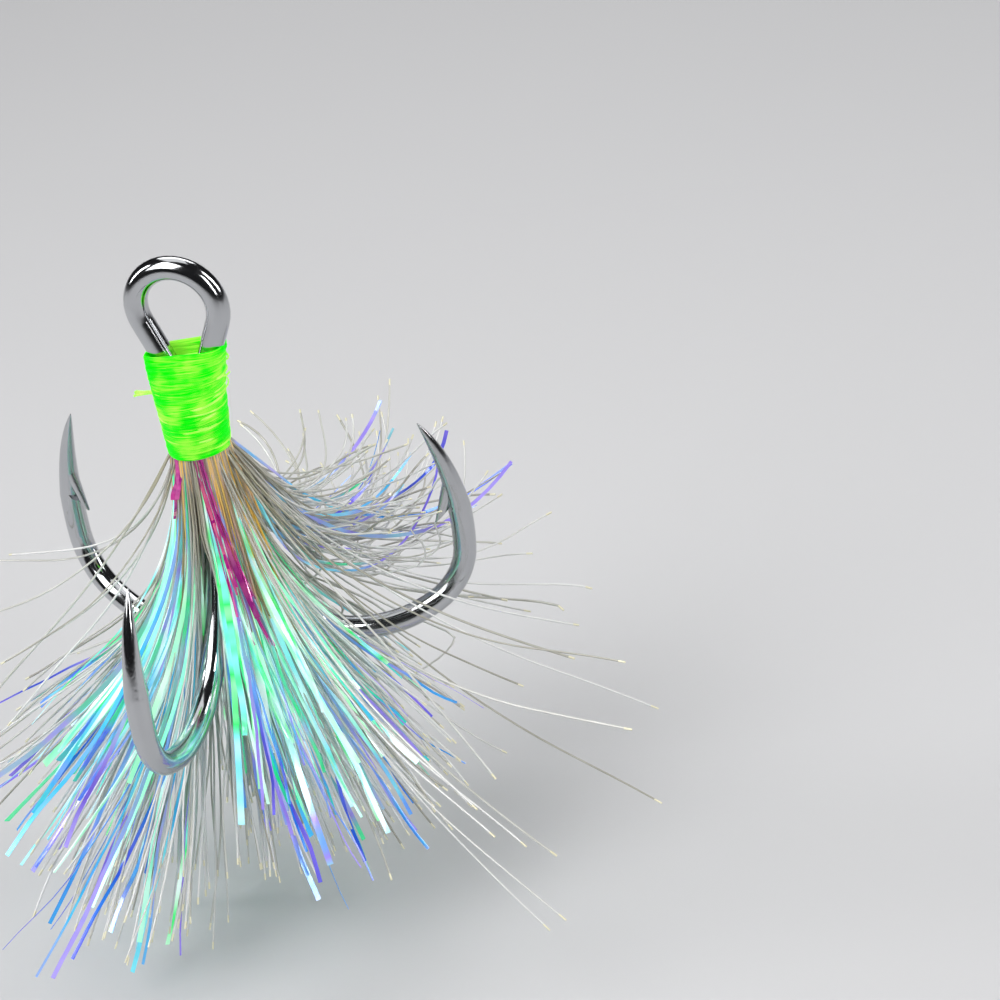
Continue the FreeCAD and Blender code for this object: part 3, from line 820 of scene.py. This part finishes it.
def tuft(node, piece, slot, **making):
    """Fibres that stand for one CAD tuft, riding with it."""
    body = next(name for name, members in frame["record"]["behaviour"]["bodies"].items() if node in members)
    made = strands(piece, **making)
    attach(made, body)
    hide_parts(node)


def joined(name, pieces):
    """Merge finished meshes into one piece."""
    with bpy.context.temp_override(active_object=pieces[0], selected_editable_objects=pieces):
        bpy.ops.object.join()
    pieces[0].name = name
    pieces[0].data.name = name
    return pieces[0]


# Colours by place in each strand's own run, from 0 to 1.
GREY_ROOT = ((0.1, (0.30, 0.28, 0.18)), (0.4, (0.52, 0.50, 0.36)), (0.7, (0.50, 0.49, 0.44)),
             (1.0, (0.78, 0.74, 0.64)))
GREY_TONES = ((0.05, (0.34, 0.33, 0.27)), (0.3, (0.66, 0.65, 0.58)), (0.6, (0.90, 0.90, 0.88)),
              (1.0, (1.0, 1.0, 1.0)))
# Painted highlight on the grey hairs' cut ends.
GREY_TIP_HIGHLIGHT = (1.0, 0.95, 0.7)
AMBER_TONES = ((0.05, (0.36, 0.30, 0.12)), (0.3, (0.62, 0.46, 0.30)), (0.45, (0.80, 0.60, 0.48)),
               (0.6, (1.0, 0.60, 0.08)), (1.0, (1.0, 0.80, 0.32)))
# Painted highlight on the amber fibres' cut ends.
AMBER_TIP_HIGHLIGHT = (1.0, 0.9, 0.5)
# Painted shade at the film strips' roots.
FILM_ROOT_SHADE = ((0.0, (0.30, 0.26, 0.20)), (0.4, (0.55, 0.44, 0.38)), (0.7, (0.40, 0.40, 0.34)),
             (1.0, (0.62, 0.52, 0.50)))
# The near-white stops are painted sheen; the others are the film's own colours.
PEARL_NEAR_WITH_SHEEN = ((0.0, (0.26, 0.96, 0.62)), (0.18, (0.78, 1.0, 0.92)), (0.34, (0.04, 0.86, 0.18)),
              (0.48, (0.30, 0.90, 1.0)), (0.62, (0.88, 1.0, 0.98)), (0.82, (0.46, 1.0, 0.62)),
              (1.0, (0.26, 0.96, 0.62)))
PEARL_FAR = ((0.0, (0.04, 0.42, 0.85)), (0.25, (0.02, 0.80, 0.24)), (0.45, (0.10, 0.18, 0.85)),
             (0.7, (0.24, 0.90, 0.72)), (0.85, (0.34, 0.24, 0.85)), (1.0, (0.04, 0.42, 0.85)))
FLASH_NEAR = ((0.0, (0.04, 0.50, 0.90)), (0.2, (0.26, 0.88, 0.92)), (0.42, (0.30, 0.24, 0.75)),
              (0.6, (0.04, 0.72, 0.26)), (0.8, (0.42, 0.36, 0.80)), (1.0, (0.04, 0.50, 0.90)))
FLASH_FAR = ((0.0, (0.02, 0.10, 0.70)), (0.3, (0.24, 0.16, 0.82)), (0.6, (0.42, 0.34, 0.92)),
             (0.8, (0.02, 0.34, 0.80)), (1.0, (0.02, 0.10, 0.70)))
MAGENTA = ((0.0, (0.42, 0.01, 0.26)), (0.35, (0.78, 0.08, 0.44)), (0.65, (0.28, 0.01, 0.20)),
           (1.0, (0.90, 0.22, 0.40)))
# Painted glint colour for the floss that is painted lighter as a highlight.
HIGHLIGHT_FLOSS_GLINT = (0.62, 1.0, 0.20)


class MakeWires(bpy.types.Operator):
    """Finish the two hook wires and the braze between them"""
    bl_idname = "treble.make_wires"
    bl_label = "Hook wires"

    def execute(self, context):
        look = settings("wire")
        plating = plated_wire(tuple(look.colour), look.roughness)
        repaint("twin_hook_wire", plating)
        repaint("single_hook_wire", plating)
        repaint("shank_braze", braze_metal())
        return {"FINISHED"}


# The wrap's outline, from its flat rim through its waist to its foot.
WAIST_DEPTH = WRAP_RIM + 2.8 * MM
RIM_HALF_WIDTH, RIM_HALF_DEPTH, RIM_SQUARENESS = 2.21 * MM, 0.86 * MM, 1.2
WAIST_RADIUS, FOOT_RADIUS = 1.79 * MM, 1.61 * MM
MAIN_POINTS_PER_TURN = 72


class MakeWrap(bpy.types.Operator):
    """Wind the thread wrap, and set its base layer and tag end"""
    bl_idname = "treble.make_wrap"
    bl_label = "Thread wrap"

    def wind(self, name, material, turns, points, seed, slant, slant_to, inset=(0.1, 0.1), lift=0.0,
             unevenness=0.035, finer=(1.0, 1.0)):
        """One run of floss. Slant, inset and lift are in millimetres, and slant_to is in degrees.

        Inset is how far the run stops short of the rim and the foot, and finer scales its width
        and thickness."""
        look = settings("wrap")
        return grown(
            name, tree_named("wound floss", thread_tree), Turns=float(turns), Points=points,
            Shank_axis=SHANK_AXIS, Top_depth=WRAP_RIM + inset[0] * MM, Foot_depth=WRAP_FOOT - inset[1] * MM,
            Waist_depth=WAIST_DEPTH, Rim_half_width=RIM_HALF_WIDTH, Rim_half_depth=RIM_HALF_DEPTH,
            Rim_forward=-SHANK_AXIS.y, Rim_squareness=RIM_SQUARENESS,
            Waist_radius=WAIST_RADIUS, Foot_radius=FOOT_RADIUS,
            Slant=slant * MM, Slant_direction=math.radians(slant_to), Lift=lift * MM,
            Unevenness=unevenness, Seed=float(seed),
            Width=look.floss_width * finer[0], Thickness=look.floss_thickness * finer[1], Material=material)

    def execute(self, context):
        look = settings("wrap")
        lime = floss("lime floss", tuple(look.body), tuple(look.bright), tuple(look.shade))
        # The crossing and returning turns and the tag end are the same lime floss painted lighter as a
        # highlight: the lit colour is their body, HIGHLIGHT_FLOSS_GLINT their painted glints and the plain
        # floss colour their painted shade.
        painted_highlight_floss = floss("lime floss, crossing turns", tuple(look.bright), HIGHLIGHT_FLOSS_GLINT, tuple(look.body))
        main = self.wind("main_turns", lime, look.turns, points=look.turns * MAIN_POINTS_PER_TURN,
                         seed=4, slant=0.36, slant_to=-8)
        cross = self.wind("crossing_turns", painted_highlight_floss, 7, points=560, seed=11, slant=0.34, slant_to=20,
                          inset=(1.0, 0.3), lift=0.02, unevenness=0.10, finer=(0.4, 0.6))
        back = self.wind("returning_turns", painted_highlight_floss, -5, points=400, seed=31, slant=0.3, slant_to=200,
                         inset=(1.2, 0.4), lift=0.02, unevenness=0.08, finer=(0.3, 0.5))
        under = self.wind("under_turns", lime, 17, points=1000, seed=23, slant=0.3, slant_to=-8, lift=-0.07)
        wrap = joined("lime_thread_turns", [main, cross, back, under])
        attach(wrap, "hook_and_wrap")
        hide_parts("thread_wrap")
        repaint("thread_base_layer", lime)
        tag_low, tag_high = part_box("thread_tag_end")
        tag = strands("thread_tag_filaments", gap=TAG_DIRECTION, lay=TAG_LAY, count=TAG_FILAMENTS,
                      material=painted_highlight_floss, seed=TAG_SEED, thickness=look.floss_thickness, points=8,
                      root_depth=-(tag_low.z + tag_high.z) / 2, clear=0.0)
        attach(tag, "hook_and_wrap")
        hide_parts("thread_tag_end")
        return {"FINISHED"}


class MakeHair(bpy.types.Operator):
    """Lay the grey nylon hair, its strays and its tied-in butts"""
    bl_idname = "treble.make_hair"
    bl_label = "Nylon hair"

    def execute(self, context):
        look = settings("skirt")
        grey = nylon_hair("grey nylon hair", GREY_ROOT, GREY_TONES, GREY_TIP_HIGHLIGHT, clear=0.25)
        for number, (gap, direction) in enumerate(GAPS.items()):
            for place, side in enumerate(("grey_hair_left", "grey_hair_right")):
                tuft("%s_%s" % (side, gap), "%s_strands_%s" % (side, gap), "grey_nylon", gap=direction,
                     lay=lay_of(side, gap), count=look.hair_count, material=grey,
                     seed=HAIR_SEED + HAIR_SEED_STEP * number + place, thickness=look.hair_thickness)
        for number, (node, (gap, lay)) in enumerate(STRAY_LAY.items()):
            tuft(node, node + "_strands", "grey_nylon", gap=GAPS[gap], lay={**STRAIGHT_LAY, **lay},
                 count=look.swept_count if "swept" in node else look.stray_count, material=grey,
                 seed=STRAY_SEED + number, thickness=look.hair_thickness, points=30)
        repaint("fibre_butts", grey)
        return {"FINISHED"}


class MakeAmber(bpy.types.Operator):
    """Lay the short amber fibres next to the shanks"""
    bl_idname = "treble.make_amber"
    bl_label = "Amber fibres"

    def execute(self, context):
        look = settings("skirt")
        amber = nylon_hair("amber fibre", AMBER_TONES, AMBER_TONES, AMBER_TIP_HIGHLIGHT, clear=0.1)
        for number, (gap, direction) in enumerate(GAPS.items()):
            tuft("amber_fibres_" + gap, "amber_strands_" + gap, "amber_fibre", gap=direction,
                 lay=lay_of("amber_fibres", gap), count=look.amber_count, material=amber,
                 seed=AMBER_SEED + number, thickness=look.amber_thickness, points=14)
        return {"FINISHED"}


class MakeTinsel(bpy.types.Operator):
    """Lay the pearl, blue and magenta film strips"""
    bl_idname = "treble.make_tinsel"
    bl_label = "Tinsel strips"

    def execute(self, context):
        look = settings("skirt")
        kinds = (
            ("pearl_tinsel", "pearl_tinsel", look.pearl_count, look.tinsel_width,
             pearl_film("pearl film", FILM_ROOT_SHADE, PEARL_NEAR_WITH_SHEEN, PEARL_FAR,
                        turn_at=0.5, tip_share=0.45, glow=0.40)),
            ("blue_flash", "blue_flash", look.flash_count, look.tinsel_width * 0.75,
             pearl_film("blue and violet film", FILM_ROOT_SHADE, FLASH_NEAR, FLASH_FAR,
                        turn_at=0.45, tip_share=0.7, glow=0.25)),
            ("magenta_strips", "magenta_strip", look.magenta_count, look.magenta_width,
             pearl_film("magenta film", MAGENTA, MAGENTA, MAGENTA,
                        turn_at=0.5, tip_share=0.0, glow=0.12)),
        )
        for place, (kind, slot, count, width, film) in enumerate(kinds):
            for number, (gap, direction) in enumerate(GAPS.items()):
                tuft("%s_%s" % (kind, gap), "%s_film_%s" % (kind, gap), slot, gap=direction,
                     lay=lay_of(kind, gap), count=count, material=film,
                     seed=TINSEL_SEED + TINSEL_SEED_STEP * place + number,
                     thickness=look.film_thickness, width=width, width_spread=0.45, points=26)
        return {"FINISHED"}


# Each light's direction round the hook and height above level in degrees, its distance and size in
# metres, its power in watts, and how wide its beam spreads in degrees.
SOFTBOXES = {
    "key_softbox": (-35, 48, 0.30, (0.20, 0.26), 0.25, 90),
    "front_strip": (62, 26, 0.30, (0.045, 0.20), 0.08, 90),
    "left_strip": (-82, 24, 0.30, (0.045, 0.20), 0.08, 90),
    "side_softbox": (112, 28, 0.30, (0.08, 0.22), 0.10, 90),
    "back_softbox": (195, 40, 0.34, (0.26, 0.12), 0.30, 180),
    "top_softbox": (205, 66, 0.40, (0.26, 0.26), 0.26, 180),
}
LIGHTS_AIM_AT = Vector((0, 0, -0.014))
FLOOR_HALF_SIZE = 3.0
SKY_COLOUR, SKY_STRENGTH = (0.03, 0.03, 0.033, 1.0), 0.6
SENSOR_WIDTH_MM = 36.0
CLIP_START, CLIP_END = 0.01, 10.0


def direction(azimuth, elevation):
    """The way out from the hook, with azimuth 0 on the single hook's side, in radians."""
    level = math.cos(elevation)
    return Vector((math.sin(azimuth) * level, -math.cos(azimuth) * level, math.sin(elevation)))


class MakeStudio(bpy.types.Operator):
    """Set the floor, the lights and the camera"""
    bl_idname = "treble.make_studio"
    bl_label = "Studio"

    def floor(self, look):
        low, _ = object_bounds()
        level, far = low.z - look.floor_gap, FLOOR_HALF_SIZE
        mesh = bpy.data.meshes.new("studio_floor")
        corners = [(-far, -far, level), (far, -far, level), (far, far, level), (-far, far, level)]
        mesh.from_pydata(corners, [], [(0, 1, 2, 3)])
        mesh.materials.append(pale_floor(tuple(look.floor)))
        plane = bpy.data.objects.new("studio_floor", mesh)
        bpy.context.scene.collection.objects.link(plane)
        plane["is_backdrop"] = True

    def softbox(self, name, azimuth, elevation, distance, size, power, spread):
        light = bpy.data.lights.new(name, "AREA")
        light.shape = "RECTANGLE"
        light.size, light.size_y = size
        light.energy = power
        light.spread = math.radians(spread)
        holder = bpy.data.objects.new(name, light)
        out = direction(math.radians(azimuth), math.radians(elevation))
        holder.location = LIGHTS_AIM_AT + out * distance
        holder.rotation_euler = (-out).to_track_quat("-Z", "Y").to_euler()
        bpy.context.scene.collection.objects.link(holder)

    def sky(self):
        world = bpy.data.worlds.new("studio")
        world.use_nodes = True
        background = world.node_tree.nodes["Background"]
        background.inputs["Color"].default_value = SKY_COLOUR
        background.inputs["Strength"].default_value = SKY_STRENGTH
        bpy.context.scene.world = world

    def camera(self, look):
        """Stand the camera on its direction, then turn it until the eye is up and left of the middle."""
        data = bpy.data.cameras.new("camera")
        data.lens = look.lens
        data.sensor_width = SENSOR_WIDTH_MM
        data.clip_start, data.clip_end = CLIP_START, CLIP_END
        holder = bpy.data.objects.new("camera", data)
        bpy.context.scene.collection.objects.link(holder)
        out = direction(look.azimuth, look.elevation)
        facing = (-out).to_track_quat("-Z", "Y").to_matrix() @ Matrix.Rotation(-look.roll, 3, "Z")
        right, up = facing.col[0], facing.col[1]
        width = data.sensor_width / data.lens
        aim = -out + right * (width * look.eye_left) - up * (width * look.eye_above)
        back = -aim.normalized()
        right = (right - back * right.dot(back)).normalized()
        turned = Matrix((right, back.cross(right), back)).transposed()
        holder.matrix_world = Matrix.Translation(SHANK_AXIS + out * look.distance) @ turned.to_4x4()
        bpy.context.scene.camera = holder

    def execute(self, context):
        look = settings("studio")
        self.floor(look)
        for name, made in SOFTBOXES.items():
            self.softbox(name, *made)
        self.sky()
        bpy.context.scene.view_settings.view_transform = "Standard"
        self.camera(look)
        return {"FINISHED"}


class TreblePanel(bpy.types.Panel):
    """The hook's pieces and their sizes"""
    bl_label = "Treble hook"
    bl_idname = "VIEW3D_PT_treble_hook"
    bl_space_type = "VIEW_3D"
    bl_region_type = "UI"
    bl_category = "Treble hook"

    def draw(self, context):
        for operator, group in OPERATORS:
            box = self.layout.box()
            box.operator(operator.bl_idname)
            values = settings(group)
            for name in values.__annotations__:
                box.prop(values, name)


OPERATORS = ((MakeWires, "wire"), (MakeWrap, "wrap"), (MakeAmber, "skirt"), (MakeHair, "skirt"),
             (MakeTinsel, "skirt"), (MakeStudio, "studio"))
GROUPS = {"wire": WireSettings, "wrap": WrapSettings, "skirt": SkirtSettings, "studio": StudioSettings}


def register():
    for group in GROUPS.values():
        bpy.utils.register_class(group)
    for operator, _ in OPERATORS:
        bpy.utils.register_class(operator)
    bpy.utils.register_class(TreblePanel)
    for name, group in GROUPS.items():
        setattr(bpy.types.Scene, "treble_" + name, bpy.props.PointerProperty(type=group))


def unregister():
    for name in GROUPS:
        delattr(bpy.types.Scene, "treble_" + name)
    bpy.utils.unregister_class(TreblePanel)
    for operator, _ in reversed(OPERATORS):
        bpy.utils.unregister_class(operator)
    for group in reversed(list(GROUPS.values())):
        bpy.utils.unregister_class(group)


def main():
    register()
    for step in ("wires", "wrap", "amber", "hair", "tinsel", "studio"):
        getattr(bpy.ops.treble, "make_" + step)()
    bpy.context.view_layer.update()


if __name__ == "__main__":
    main()
